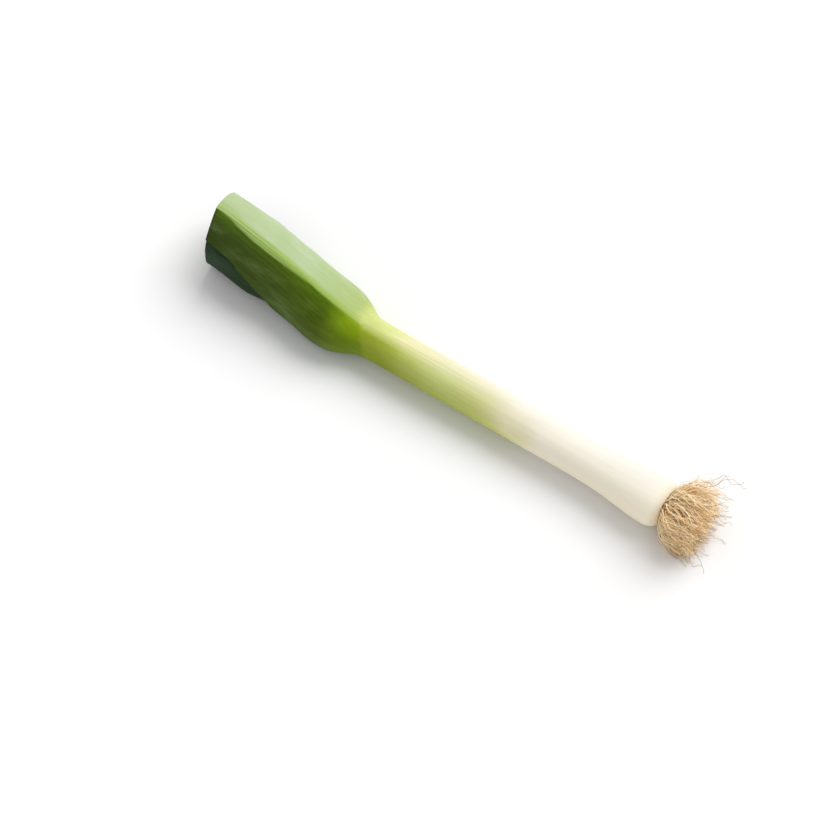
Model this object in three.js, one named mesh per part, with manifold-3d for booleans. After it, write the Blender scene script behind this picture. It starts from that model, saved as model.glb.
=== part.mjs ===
// A trimmed leek lying on its side: a white shaft with a small bulb, a fan of folded
// leaves cut square, and a tuft of roots on the root plate.
// Millimetres, +Z up. The roots point to +X, the cut leaves to -X, and the leek rests on z = 0.
// Places along the plant are given by u, the distance from the base end towards the leaves.

import * as THREE from 'three';
import { mergeVertices } from 'three/addons/utils/BufferGeometryUtils.js';
import Module from 'manifold-3d';

const wasm = await Module();
wasm.setup();

// ---------------------------------------------------------------- driving dimensions

const SHAFT_RADIUS = 15.5;
const BULB_RADIUS = 19.8;
const BASE_END_RADIUS = 13.5; // flat end that the root plate grows from
const BULB_CREST = 11; // u of the widest place of the bulb
const BULB_FADE = 24; // how far along the shaft the bulb dies away
const BULB_SWAY = -0.9; // the bulb sits a little to one side of the shaft's axis
const PRESSED_DEPTH = 0.4; // depth by which the bulb is pressed flat where it rests
const AXIS_HEIGHT = BULB_RADIUS - PRESSED_DEPTH;

const COLLAR = 262; // u where the outermost blade leaves its sheath
const CUT = 407; // u of the knife cut across the leaves
const CUT_SLANT = 0.17; // the knife cut runs this much further out for each mm to the far side
const HEART_TIP = 338; // u where the heart inside the leaves ends
const HEART_TAPER = 3; // how much it draws in at its tip
const CLEARANCE = 0.3; // gap between pieces that touch

const LEAF_STEP = 8; // each leaf leaves its sheath this much further up than the one outside it
const PITCH_NECK = 1.8; // spacing of the nested leaves at the collar
const PITCH_CUT = 2.6; // and at the cut
const KEEL_THICKNESS = 1.25;
const MARGIN_THICKNESS = 0.85;
const KEEL_SHARPNESS = 4; // how quickly a blade thins beside its keel
const CROWN_LEAN = -2; // the top of the fan leans this far to the near side
const FAN_BEGIN = COLLAR - 6; // u where the round section starts to turn into the fan's
const FAN_FULL = COLLAR + 34; // and where it has done so
const KEEL_CREASE = 0.6; // 0 is a plain oval section, 1 a diamond
const SOLE_ROUNDNESS = 0.75; // below 1 the underside of the fan is flatter than an oval

// Shape of the fan, as values at places along u.
const HALF_WIDTH = [
  [250, 15.5], [264, 16.4], [275, 20.9], [288, 25], [302, 25.9], [338, 24.6], [370, 27], [CUT, 27],
];
const CROWN = [
  [250, 34.9], [264, 35], [275, 37], [288, 41.6], [300, 45.6], [340, 53], [370, 57], [CUT, 60],
];
const SOLE = [[250, 3.9], [262, 3.2], [275, 0.8], [288, -2.2], [300, -3.8], [CUT, -4.6]];
const SWAY = [[262, 0], [300, 0.8], [340, 7], [370, 10], [CUT, 13.4]];
// Width added on the far side, and low down on the near side.
const FAR_FULLNESS = [
  [262, 0], [284, 2.8], [306, 4.2], [328, 4.9], [350, 4.8], [375, 3.8], [CUT, 2.4],
];
const NEAR_FULLNESS = [[345, 0], [378, 4], [CUT, 2]];

// Half of each blade's width, as an angle from its keel: near its base, and at the cut.
const BASE_SPAN = 174;
const CUT_SPANS = [60, 135, 104, 112, 106, 114, 112, 130];
const OUTER_SPAN = [
  [262, 178], [270, 166], [280, 150], [300, 134], [330, 118], [346, 96], [370, 67], [388, 53], [CUT, 54],
];
const OUTER_SPAN_EXTRA = 12; // the far half of the outermost blade is a little wider
const MARGIN_RIPPLE = 2.2; // degrees by which a margin wavers
const RIPPLE_LENGTH = 46;

const BLADE_COLUMNS = 18;
const SHAFT_SIDES = 30;
const BLADE_PLACES = [262, 270, 278, 286, 294, 302, 310, 318, 334, 352, 370, 388, CUT];
const SHAFT_PLACES = [0, 0.7, 2.6, 6, BULB_CREST, 20, 32, 46, 66, 100, 180, 235, 250];
const HEART_PLACES = [262, 270, 278, 286, 294, 302, 314, 326, 334];

const ROOT_SEED = 20;
const ROOT_COUNT = 78;
const ROOT_SIDES = 3;
const ROOT_STEPS = 5;
const ROOT_BASE_RADIUS = 0.95;
const ROOT_TIP_RADIUS = 0.6;
const ROOT_LENGTH_MIN = 24;
const ROOT_LENGTH_MAX = 41;
const ROOT_LEAN_MIDDLE = 6; // degrees away from the shaft's direction at the middle of the plate
const ROOT_LEAN_RIM = 60; // and at its rim
const ROOT_LEAN_SPREAD = 16; // degrees by which neighbouring roots differ
const ROOT_GATHER = 0.95; // share of its lean that a root loses by its tip
const ROOT_WANDER = 0.22; // sideways turn of a root's heading
const ROOT_DROOP = 0.1; // downward turn of its heading at the tip
const ROOT_CURL_MIN = 0.7; // radians its sideways turn swings round at each step
const ROOT_CURL_MAX = 1.5;
const ROOT_START = 1; // roots begin this far out of the base end, inside the root plate
const ROOT_NEAREST = 2.2; // no root comes closer than this to the base end
const ROOT_FLOOR = 1.05; // or to the surface below
const PLATE_RADIUS = 13;
const PLATE_SIDES = 24;
const PLATE_PROFILE = [[0, 0.3], [13, 0.3], [12.5, 2.1], [9.4, 5.2], [0, 7]]; // radius, height
const PLATE_FILL = 0.9; // roots grow on this share of the plate's radius
const GOLDEN_ANGLE = 137.508; // degrees from one root round the plate to the next

const DEGREE = Math.PI / 180;

// ---------------------------------------------------------------- small helpers

/** Reads a value between listed places, eased so that the line through them stays smooth. */
function along(places, u) {
  const last = places.length - 1;
  if (u <= places[0][0]) return places[0][1];
  if (u >= places[last][0]) return places[last][1];
  const slope = (i) => (places[i + 1][1] - places[i][1]) / (places[i + 1][0] - places[i][0]);
  const tangent = (i) => {
    if (i === 0 || i === last) return slope(Math.min(i, last - 1)) * (i === 0 ? 0 : 1);
    const before = slope(i - 1);
    const after = slope(i);
    return before * after <= 0 ? 0 : (2 * before * after) / (before + after);
  };
  const i = places.findIndex(([at]) => at > u) - 1;
  const span = places[i + 1][0] - places[i][0];
  const t = (u - places[i][0]) / span;
  const rise = t * t * (3 - 2 * t);
  const start = places[i][1];
  const end = places[i + 1][1];
  const swing = t * (1 - t) * span * ((1 - t) * tangent(i) - t * tangent(i + 1));
  return start + (end - start) * rise + swing;
}

/** A repeatable source of numbers from 0 to 1. */
function seededRandom(seed) {
  let state = seed >>> 0;
  return () => {
    state = (state + 0x6d2b79f5) >>> 0;
    let mixed = Math.imul(state ^ (state >>> 15), 1 | state);
    mixed = (mixed + Math.imul(mixed ^ (mixed >>> 7), 61 | mixed)) ^ mixed;
    return ((mixed ^ (mixed >>> 14)) >>> 0) / 4294967296;
  };
}

/** A closed solid from points and triangles, turned so that its faces point out. */
function solid(points, triangles) {
  const signedVolume = triangles.reduce((sum, [i, j, k]) => {
    const [a, b, c] = [points[i], points[j], points[k]];
    return sum + a.dot(new THREE.Vector3().crossVectors(b, c));
  }, 0);
  const faces = signedVolume < 0 ? triangles.map(([i, j, k]) => [i, k, j]) : triangles;
  const geometry = new THREE.BufferGeometry();
  geometry.setAttribute('position', new THREE.Float32BufferAttribute(points.flatMap((p) => p.toArray()), 3));
  geometry.setIndex(faces.flat());
  return geometry;
}

/** A solid lofted through rings of equally many points, closed by a fan at each end. */
function loftedSolid(rings) {
  const sides = rings[0].length;
  const points = rings.flat();
  const triangles = [];
  for (let i = 0; i + 1 < rings.length; i += 1) {
    for (let j = 0; j < sides; j += 1) {
      const a = i * sides + j;
      const b = i * sides + ((j + 1) % sides);
      triangles.push([a, b, b + sides], [a, b + sides, a + sides]);
    }
  }
  const centre = (ring) => ring.reduce((sum, p) => sum.add(p), new THREE.Vector3()).divideScalar(sides);
  const lastRing = (rings.length - 1) * sides;
  points.push(centre(rings[0]), centre(rings[rings.length - 1]));
  for (let j = 0; j < sides; j += 1) {
    const next = (j + 1) % sides;
    triangles.push([points.length - 2, next, j], [points.length - 1, lastRing + j, lastRing + next]);
  }
  return solid(points, triangles);
}

/** A thin solid between two grids of points, both faces split into triangles alike. */
function sheetSolid(outerRows, innerRows) {
  const columns = outerRows[0].length;
  const rows = outerRows.length;
  const points = [...outerRows.flat(), ...innerRows.flat()];
  const outer = (i, j) => i * columns + j;
  const inner = (i, j) => rows * columns + i * columns + j;
  const triangles = [];
  const wall = (a, b, c, d) => triangles.push([a, b, c], [a, c, d]);
  for (let i = 0; i + 1 < rows; i += 1) {
    for (let j = 0; j + 1 < columns; j += 1) {
      wall(outer(i, j), outer(i, j + 1), outer(i + 1, j + 1), outer(i + 1, j));
      triangles.push([inner(i, j), inner(i + 1, j + 1), inner(i, j + 1)]);
      triangles.push([inner(i, j), inner(i + 1, j), inner(i + 1, j + 1)]);
    }
    const end = columns - 1;
    wall(inner(i, 0), outer(i, 0), outer(i + 1, 0), inner(i + 1, 0));
    wall(outer(i, end), inner(i, end), inner(i + 1, end), outer(i + 1, end));
  }
  for (let j = 0; j + 1 < columns; j += 1) {
    const end = rows - 1;
    wall(inner(0, j), inner(0, j + 1), outer(0, j + 1), outer(0, j));
    wall(outer(end, j), outer(end, j + 1), inner(end, j + 1), inner(end, j));
  }
  return solid(points, triangles);
}

// ---------------------------------------------------------------- sections of the plant

/** How far the bulb stands out from the shaft at u; negative where its end rounds in. */
function bulbBulge(u) {
  const swell = BULB_RADIUS - SHAFT_RADIUS;
  if (u >= BULB_CREST) return swell * Math.exp(-((u - BULB_CREST) ** 2) / (2 * BULB_FADE ** 2));
  const rounding = Math.sqrt(1 - (1 - u / BULB_CREST) ** 2);
  return BASE_END_RADIUS - SHAFT_RADIUS + (BULB_RADIUS - BASE_END_RADIUS) * rounding;
}

/** How fully the fan's creased, flat-soled section has taken over from the round shaft. */
function fanning(u) {
  return THREE.MathUtils.smoothstep(u, FAN_BEGIN, FAN_FULL);
}

/** Spacing of the nested leaves at u. */
function pitch(u) {
  return THREE.MathUtils.mapLinear(Math.max(u, COLLAR), COLLAR, CUT, PITCH_NECK, PITCH_CUT);
}

/** How much wider the section is at an angle than a symmetrical one would be. */
function fullness(u, angle) {
  if (angle > 0) return along(FAR_FULLNESS, u);
  return (along(NEAR_FULLNESS, u) * (1 - Math.cos(angle))) / 2;
}

/** A point of the section at u, `depth` inside its outline, at an angle from the top. */
function sectionPoint(u, depth, angle) {
  const bulge = bulbBulge(u);
  const crown = along(CROWN, u) + bulge;
  const sole = along(SOLE, u) - bulge;
  const halfHeight = (crown - sole) / 2 - depth;
  const halfWidth = along(HALF_WIDTH, u) + bulge - depth;
  const cosine = Math.cos(angle);
  const crease = KEEL_CREASE * fanning(u);
  const creased = (1 - crease) * cosine + crease * (1 - (2 * Math.abs(angle)) / Math.PI);
  const flat = -(Math.abs(cosine) ** THREE.MathUtils.lerp(1, SOLE_ROUNDNESS, fanning(u)));
  const sway = along(SWAY, u) + BULB_SWAY * Math.min(1, Math.max(0, bulge) / (BULB_RADIUS - SHAFT_RADIUS));
  const lean = CROWN_LEAN * fanning(u) * Math.max(0, cosine);
  const y = sway + lean + (halfWidth + fullness(u, angle)) * Math.sin(angle);
  const z = (crown + sole) / 2 + halfHeight * (cosine > 0 ? creased : flat);
  const floor = u > COLLAR ? Math.max(0, depth - pitch(u)) : 0;
  const slant = CUT_SLANT * y * THREE.MathUtils.smoothstep(u, COLLAR, CUT);
  return new THREE.Vector3(-u - slant, y, Math.max(z, floor));
}

function shaftGeometry() {
  const ring = (u, depth) => {
    const points = [];
    for (let i = 0; i < SHAFT_SIDES; i += 1) {
      const angle = (2 * Math.PI * i) / SHAFT_SIDES;
      points.push(sectionPoint(u, depth, angle > Math.PI ? angle - 2 * Math.PI : angle));
    }
    return points;
  };
  const heartDepth = (u) => pitch(u) * (1 + (u - COLLAR) / LEAF_STEP) + CLEARANCE;
  const shoulder = COLLAR - CLEARANCE;
  const rings = SHAFT_PLACES.map((u) => ring(u, 0));
  rings.push(ring(shoulder, 0), ring(shoulder, heartDepth(COLLAR)));
  rings.push(...HEART_PLACES.map((u) => ring(u, heartDepth(u))));
  rings.push(ring(HEART_TIP, heartDepth(HEART_TIP) + HEART_TAPER));
  return loftedSolid(rings);
}

/** Half of a blade's width at u, as an angle in radians from its keel. */
function halfSpan(order, side, u) {
  const base = COLLAR + order * LEAF_STEP;
  const progress = (u - base) / (CUT - base);
  const ripple = MARGIN_RIPPLE * Math.sin((2 * Math.PI * u) / RIPPLE_LENGTH + order * 2 + side) * progress;
  if (order === 0) {
    const extra = side > 0 ? OUTER_SPAN_EXTRA * progress : 0;
    return (along(OUTER_SPAN, u) + extra + ripple) * DEGREE;
  }
  return (CUT_SPANS[order] + (BASE_SPAN - CUT_SPANS[order]) * (1 - progress) ** 2 + ripple) * DEGREE;
}

function bladeGeometry(order) {
  const keelUp = order % 2 === 0;
  const base = COLLAR + order * LEAF_STEP;
  const places = BLADE_PLACES.filter((u) => u >= base);
  const rows = (inside) => places.map((u) => {
    const row = [];
    for (let j = 0; j <= BLADE_COLUMNS; j += 1) {
      const across = (2 * j) / BLADE_COLUMNS - 1;
      const fromKeel = across * halfSpan(order, Math.sign(across), u);
      const angle = keelUp ? fromKeel : Math.sign(fromKeel || 1) * (Math.PI - Math.abs(fromKeel));
      const keel = (1 - Math.abs(across)) ** KEEL_SHARPNESS;
      const thickness = MARGIN_THICKNESS + (KEEL_THICKNESS - MARGIN_THICKNESS) * keel;
      row.push(sectionPoint(u, order * pitch(u) + (inside ? thickness : 0), angle));
    }
    return row;
  });
  return sheetSolid(rows(false), rows(true));
}

// ---------------------------------------------------------------- roots

/** A tapering root along a path, as a closed solid with few sides. */
function rootGeometry(path) {
  const rings = path.map((point, i) => {
    const ahead = path[Math.min(i + 1, path.length - 1)];
    const behind = path[Math.max(i - 1, 0)];
    const heading = new THREE.Vector3().subVectors(ahead, behind).normalize();
    const turn = new THREE.Quaternion().setFromUnitVectors(new THREE.Vector3(1, 0, 0), heading);
    const radius = THREE.MathUtils.lerp(ROOT_BASE_RADIUS, ROOT_TIP_RADIUS, i / (path.length - 1));
    const ring = [];
    for (let k = 0; k < ROOT_SIDES; k += 1) {
      const angle = (2 * Math.PI * k) / ROOT_SIDES;
      const spoke = new THREE.Vector3(0, Math.cos(angle), Math.sin(angle)).multiplyScalar(radius);
      ring.push(spoke.applyQuaternion(turn).add(point));
    }
    return ring;
  });
  return loftedSolid(rings);
}

/** Where one root runs: out of the root plate, gathering along the tuft and down to rest. */
function rootPath(index, random) {
  const share = (index + 0.5) / ROOT_COUNT;
  const around = index * GOLDEN_ANGLE * DEGREE;
  const outward = new THREE.Vector3(0, Math.cos(around), Math.sin(around));
  const spread = ROOT_LEAN_SPREAD * (random() - 0.5);
  const lean = (THREE.MathUtils.lerp(ROOT_LEAN_MIDDLE, ROOT_LEAN_RIM, share) + spread) * DEGREE;
  const length = THREE.MathUtils.lerp(ROOT_LENGTH_MIN, ROOT_LENGTH_MAX, random());
  const curlStart = 2 * Math.PI * random();
  const curlTurn = (random() < 0.5 ? -1 : 1) * THREE.MathUtils.lerp(ROOT_CURL_MIN, ROOT_CURL_MAX, random());
  const point = new THREE.Vector3(ROOT_START, BULB_SWAY, AXIS_HEIGHT);
  point.addScaledVector(outward, PLATE_RADIUS * PLATE_FILL * Math.sqrt(share));
  const path = [point.clone()];
  for (let i = 0; i < ROOT_STEPS; i += 1) {
    const progress = (i + 0.5) / ROOT_STEPS;
    const leanHere = lean * (1 - ROOT_GATHER * progress);
    const curl = curlStart + curlTurn * i;
    const heading = new THREE.Vector3(Math.cos(leanHere), 0, 0);
    heading.addScaledVector(outward, Math.sin(leanHere));
    heading.y += ROOT_WANDER * Math.cos(curl);
    heading.z += ROOT_WANDER * Math.sin(curl) - ROOT_DROOP * progress;
    point.addScaledVector(heading.normalize(), length / ROOT_STEPS);
    point.x = Math.max(point.x, ROOT_NEAREST);
    point.z = Math.max(point.z, ROOT_FLOOR);
    path.push(point.clone());
  }
  return path;
}

function toManifold(geometry) {
  const positionOnly = geometry.clone();
  positionOnly.deleteAttribute('normal');
  positionOnly.deleteAttribute('uv');
  const merged = mergeVertices(positionOnly, 1e-4);
  const vertProperties = new Float32Array(merged.attributes.position.array);
  const triVerts = new Uint32Array(merged.index.array);
  return new wasm.Manifold(new wasm.Mesh({ numProp: 3, vertProperties, triVerts }));
}

function fromManifold(manifold) {
  const mesh = manifold.getMesh();
  const geometry = new THREE.BufferGeometry();
  geometry.setAttribute('position', new THREE.BufferAttribute(new Float32Array(mesh.vertProperties), 3));
  geometry.setIndex(Array.from(mesh.triVerts));
  return geometry;
}

function rootsGeometry() {
  const random = seededRandom(ROOT_SEED);
  const profile = PLATE_PROFILE.map(([radius, height]) => new THREE.Vector2(radius, height));
  const plate = new THREE.LatheGeometry(profile, PLATE_SIDES);
  plate.rotateZ(-Math.PI / 2);
  plate.translate(0, BULB_SWAY, AXIS_HEIGHT);
  const pieces = [toManifold(plate)];
  for (let i = 0; i < ROOT_COUNT; i += 1) {
    pieces.push(toManifold(rootGeometry(rootPath(i, random))));
  }
  const bodies = wasm.Manifold.union(pieces).decompose();
  bodies.sort((a, b) => b.volume() - a.volume());
  return fromManifold(bodies[0]);
}

// ---------------------------------------------------------------- assembly

function material(colour, roughness) {
  return new THREE.MeshStandardMaterial({ color: colour, roughness, metalness: 0 });
}

function piece(name, geometry, colour, roughness) {
  geometry.computeVertexNormals();
  const mesh = new THREE.Mesh(geometry, material(colour, roughness));
  mesh.name = name;
  return mesh;
}

const OUTER_GREEN = new THREE.Color(0x4f7a33);
const INNER_GREEN = new THREE.Color(0xb9c96a);

const leek = new THREE.Group();
leek.add(piece('shaft', shaftGeometry(), 0xf1ecd8, 0.42));
CUT_SPANS.forEach((_, order) => {
  const colour = OUTER_GREEN.clone().lerp(INNER_GREEN, order / (CUT_SPANS.length - 1));
  leek.add(piece(`leaf_0${order + 1}`, bladeGeometry(order), colour, 0.5));
});
leek.add(piece('roots', rootsGeometry(), 0xcdb48a, 0.85));

// The origin is under the middle of the whole leek, on the surface that it rests on.
const box = new THREE.Box3().setFromObject(leek);
leek.position.set(-(box.min.x + box.max.x) / 2, -(box.min.y + box.max.y) / 2, -box.min.z);

export default leek;
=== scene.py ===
"""A trimmed leek in a plain studio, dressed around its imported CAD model.

Lengths are millimetres in the plant's form, the sub-assemblies and the studio, and metres in the finishes,
as materials read them. Places along the plant are given by u, the distance from its base end towards the
cut leaves.
"""

import logging
import math
import random
from contextlib import contextmanager
from dataclasses import dataclass, field, replace
from enum import Enum
from typing import Iterator, Sequence

import bpy
import numpy as np
from mathutils import Matrix, Vector


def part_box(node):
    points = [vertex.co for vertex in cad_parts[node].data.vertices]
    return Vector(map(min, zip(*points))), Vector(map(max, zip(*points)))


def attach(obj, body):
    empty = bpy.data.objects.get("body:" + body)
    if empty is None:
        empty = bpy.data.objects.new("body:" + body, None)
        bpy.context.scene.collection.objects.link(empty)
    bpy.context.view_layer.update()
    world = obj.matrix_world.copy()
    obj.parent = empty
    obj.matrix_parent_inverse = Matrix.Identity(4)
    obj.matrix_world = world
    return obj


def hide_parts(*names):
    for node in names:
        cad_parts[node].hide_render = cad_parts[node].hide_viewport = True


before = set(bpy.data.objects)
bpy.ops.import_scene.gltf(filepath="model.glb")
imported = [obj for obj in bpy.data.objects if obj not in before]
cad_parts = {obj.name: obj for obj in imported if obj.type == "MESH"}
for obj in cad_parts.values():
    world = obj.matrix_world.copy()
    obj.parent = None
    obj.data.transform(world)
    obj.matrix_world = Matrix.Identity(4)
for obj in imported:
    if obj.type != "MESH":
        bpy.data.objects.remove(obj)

LOG = logging.getLogger("leek")
MM = 0.001
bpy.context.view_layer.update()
GRAIN_MAP = "grain"
GOLDEN_ANGLE = math.radians(137.508)
WELD_DISTANCE = 1e-6
MIX_COLOUR_INPUTS = (0, 6, 7)
MIX_COLOUR_OUTPUT = 2

Socket = bpy.types.NodeSocket
Span = tuple[float, float]
Triple = tuple[float, float, float]
Stations = Sequence[Span]
Colour = tuple[float, float, float]
ColourStations = Sequence[tuple[float, Colour]]


# ------------------------------------------------------------------ form of the plant


def along(stations: Stations, u: np.ndarray) -> np.ndarray:
    """Reads a value between stations, eased so that the line through them stays smooth.

    Args:
        stations: Pairs of u and value, in rising order of u.
        u: Places along the plant.

    Returns:
        The value at each place.
    """
    places = np.array([station[0] for station in stations], float)
    values = np.array([station[1] for station in stations], float)
    slopes = np.diff(values) / np.diff(places)
    tangents = np.zeros_like(values)
    tangents[0] = slopes[0]
    before, after = slopes[:-1], slopes[1:]
    agree = before * after > 0
    mean = 2 * before * after / np.where(agree, before + after, 1.0)
    tangents[1:-1] = np.where(agree, mean, 0.0)
    u = np.clip(u, places[0], places[-1])
    index = np.clip(np.searchsorted(places, u, side="right") - 1, 0, len(places) - 2)
    span = places[index + 1] - places[index]
    t = (u - places[index]) / span
    rise = t * t * (3 - 2 * t)
    swing = t * (1 - t) * span * ((1 - t) * tangents[index] - t * tangents[index + 1])
    return values[index] + (values[index + 1] - values[index]) * rise + swing


def ease(value: np.ndarray, start: float, end: float) -> np.ndarray:
    """A smooth step from 0 at start to 1 at end.

    Args:
        value: Where to read the step.
        start: Where it leaves 0.
        end: Where it reaches 1.

    Returns:
        The height of the step.
    """
    t = np.clip((value - start) / (end - start), 0, 1)
    return t * t * (3 - 2 * t)


def unit(directions: np.ndarray) -> np.ndarray:
    """Vectors made one unit long."""
    return directions / np.linalg.norm(directions, axis=-1, keepdims=True)


@dataclass(frozen=True)
class Wave:
    """A slow wave over the surface: its height, its length, its turns round the plant and its phase."""

    height: float
    length: float
    turns: float
    phase: float


@dataclass(frozen=True)
class PlantForm:
    """The outline of the whole leek: round shaft and bulb, and the creased oval of the leaf fan.

    It is the CAD model's own law with the crease of the keel rounded over. The shaft turns into the fan at
    the collar. Crown and sole are the heights of its top and bottom, sway is how far it leans across, and
    the two fullnesses are how much wider it is on its far and its near side.
    """

    shaft_radius: float = 15.5
    bulb_radius: float = 19.8
    base_end_radius: float = 13.5
    bulb_crest: float = 11
    bulb_fade: float = 24
    bulb_sway: float = -0.9
    pressed_depth: float = 0.4
    collar: float = 262
    cut: float = 407
    cut_slant: float = 0.17
    heart_tip: float = 338
    leaf_step: float = 8
    pitch_neck: float = 1.8
    pitch_cut: float = 2.6
    crown_lean: float = -2
    keel_crease: float = 0.6
    keel_rounding: float = 0.05
    sole_roundness: float = 0.75
    fan_growth: Span = (-6, 34)
    heart_gap: float = 0.3
    uneven_from: Span = (2, 30)
    keel_calm: float = 0.7
    fan_waves: Sequence[Wave] = (
        Wave(0.20, 60, 2.1, 0.5), Wave(0.16, 145, 5.0, 1.7),
        Wave(0.08, 31, -7.0, 0.2), Wave(0.05, 19, 11.0, 2.9),
    )
    shaft_waves: Sequence[Wave] = (
        Wave(0.05, 900, 7.0, 0.4), Wave(0.04, 700, -12.0, 1.1), Wave(0.03, 400, 19.0, 2.2)
    )
    half_width: Stations = (
        (250, 15.5), (264, 16.4), (275, 20.9), (288, 25), (302, 25.9), (338, 24.6), (370, 27), (407, 27)
    )
    crown: Stations = (
        (250, 34.9), (264, 35), (275, 37), (288, 41.6), (300, 45.6), (340, 53), (370, 57), (407, 60)
    )
    sole: Stations = ((250, 3.9), (262, 3.2), (275, 0.8), (288, -2.2), (300, -3.8), (407, -4.6))
    sway: Stations = ((262, 0), (300, 0.8), (340, 7), (370, 10), (407, 13.4))
    far_fullness: Stations = (
        (262, 0), (284, 2.8), (306, 4.2), (328, 4.9), (350, 4.8), (375, 3.8), (407, 2.4)
    )
    near_fullness: Stations = ((345, 0), (378, 4), (407, 2))
    cad_shaft_sides: int = 30

    @property
    def base_x(self) -> float:
        """The base end's X in the frame, in metres, read from the CAD shaft."""
        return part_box("shaft")[1].x

    @property
    def axis_y(self) -> float:
        """The shaft axis's Y in the frame, in metres, read from the CAD shaft's bulb."""
        facet_reach = self.bulb_radius * math.cos(math.pi / self.cad_shaft_sides)
        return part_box("shaft")[0].y + (facet_reach - self.bulb_sway) * MM

    @property
    def axis_height(self) -> float:
        """Height of the shaft's axis above the surface."""
        return self.bulb_radius - self.pressed_depth

    def bulge(self, u: np.ndarray) -> np.ndarray:
        """How far the bulb stands out from the shaft; negative where its end rounds in.

        Args:
            u: Places along the plant.

        Returns:
            The distances.
        """
        swell = (self.bulb_radius - self.shaft_radius) * np.exp(
            -((u - self.bulb_crest) ** 2) / (2 * self.bulb_fade**2)
        )
        rounding = np.sqrt(np.clip(1 - (1 - u / self.bulb_crest) ** 2, 0, 1))
        end = self.base_end_radius - self.shaft_radius + (self.bulb_radius - self.base_end_radius) * rounding
        return np.where(u >= self.bulb_crest, swell, end)

    def fanning(self, u: np.ndarray) -> np.ndarray:
        """How fully the creased section of the fan has taken over from the round shaft."""
        return ease(u - self.collar, *self.fan_growth)

    def pitch(self, u: np.ndarray) -> np.ndarray:
        """Spacing of the nested leaves."""
        share = (np.maximum(u, self.collar) - self.collar) / (self.cut - self.collar)
        return self.pitch_neck + (self.pitch_cut - self.pitch_neck) * share

    def fullness(self, u: np.ndarray, angle: np.ndarray) -> np.ndarray:
        """How much wider the section is at an angle than a symmetrical one would be."""
        near = along(self.near_fullness, u) * (1 - np.cos(angle)) / 2
        return np.where(angle > 0, along(self.far_fullness, u), near)

    def heart_depth(self, u: np.ndarray) -> np.ndarray:
        """How far inside the outline the heart lies."""
        return self.pitch(u) * (1 + (u - self.collar) / self.leaf_step) + self.heart_gap

    def unevenness(self, u: np.ndarray, angle: np.ndarray) -> np.ndarray:
        """Slow waves and faint furrows by which the real surface differs from its law.

        Args:
            u: Places along the plant.
            angle: Angles round the section.

        Returns:
            How far the surface stands out at each place.
        """
        fanning = self.fanning(u)
        total = np.zeros_like(u)
        for waves, share in ((self.fan_waves, fanning), (self.shaft_waves, 1 - fanning)):
            for wave in waves:
                place = 2 * math.pi * u / wave.length + wave.turns * angle + wave.phase
                total += share * wave.height * np.sin(place)
        calm = self.keel_calm * (1 - np.sqrt(np.abs(np.sin(angle / 2))))
        return total * ease(u, *self.uneven_from) * (1 - calm)

    def points(self, u: np.ndarray, depth: np.ndarray, angle: np.ndarray) -> np.ndarray:
        """Points of the plant in the frame.

        Args:
            u: Places along the plant.
            depth: How far inside the outline each point lies.
            angle: Angle of each point round the section, from its top, in radians from -pi to pi.

        Returns:
            An array of points, in metres.
        """
        bulge = self.bulge(u)
        depth = depth - self.unevenness(u, angle)
        crown = along(self.crown, u) + bulge
        sole = along(self.sole, u) - bulge
        half_height = (crown - sole) / 2 - depth
        half_width = along(self.half_width, u) + self.fullness(u, angle) + bulge - depth
        cosine = np.cos(angle)
        fanning = self.fanning(u)
        crease = self.keel_crease * fanning
        softened = np.sqrt(angle**2 + self.keel_rounding**2)
        creased = (1 - crease) * cosine + crease * (1 - 2 * softened / math.pi)
        flat = -(np.abs(cosine) ** (1 + (self.sole_roundness - 1) * fanning))
        swell = self.bulb_radius - self.shaft_radius
        sway = along(self.sway, u) + self.bulb_sway * np.clip(bulge / swell, 0, 1)
        lean = self.crown_lean * fanning * np.maximum(0, cosine)
        across = sway + lean + half_width * np.sin(angle)
        height = (crown + sole) / 2 + half_height * np.where(cosine > 0, creased, flat)
        floor = np.where(u > self.collar, np.maximum(0, depth - self.pitch(u)), 0)
        slant = self.cut_slant * across * ease(u, self.collar, self.cut)
        height = np.maximum(height, floor)
        return np.stack([self.base_x - (u + slant) * MM, self.axis_y + across * MM, height * MM], axis=-1)


# ------------------------------------------------------------------ working with meshes


def deselect() -> None:
    """Leaves edit mode's and the scene's selections empty."""
    if bpy.context.object and bpy.context.object.mode != "OBJECT":
        bpy.ops.object.mode_set(mode="OBJECT")
    bpy.ops.object.select_all(action="DESELECT")


def take(piece: bpy.types.Object) -> None:
    """Makes a piece the one selected and active object.

    Args:
        piece: The piece.
    """
    deselect()
    piece.select_set(True)
    bpy.context.view_layer.objects.active = piece


@contextmanager
def editing(piece: bpy.types.Object) -> Iterator[None]:
    """Opens a piece in edit mode with all of it selected, and closes it afterwards.

    Args:
        piece: The piece.

    Yields:
        Nothing; the edit operators are called inside.
    """
    take(piece)
    bpy.ops.object.mode_set(mode="EDIT")
    bpy.ops.mesh.select_all(action="SELECT")
    yield
    bpy.ops.object.mode_set(mode="OBJECT")


def new_object(name: str, data: bpy.types.ID) -> bpy.types.Object:
    """Puts a mesh, camera or light into the scene as an object.

    Args:
        name: The object's name.
        data: The mesh, camera or light.

    Returns:
        The object.
    """
    made = bpy.data.objects.new(name, data)
    bpy.context.collection.objects.link(made)
    return made


def vectors(items: bpy.types.bpy_prop_collection, attribute: str) -> np.ndarray:
    """Reads a vector attribute of vertices, normals or faces.

    Args:
        items: The vertices, normals or faces.
        attribute: The attribute's name.

    Returns:
        One row for each of them.
    """
    flat = np.empty(len(items) * 3)
    items.foreach_get(attribute, flat)
    return flat.reshape(-1, 3)


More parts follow.
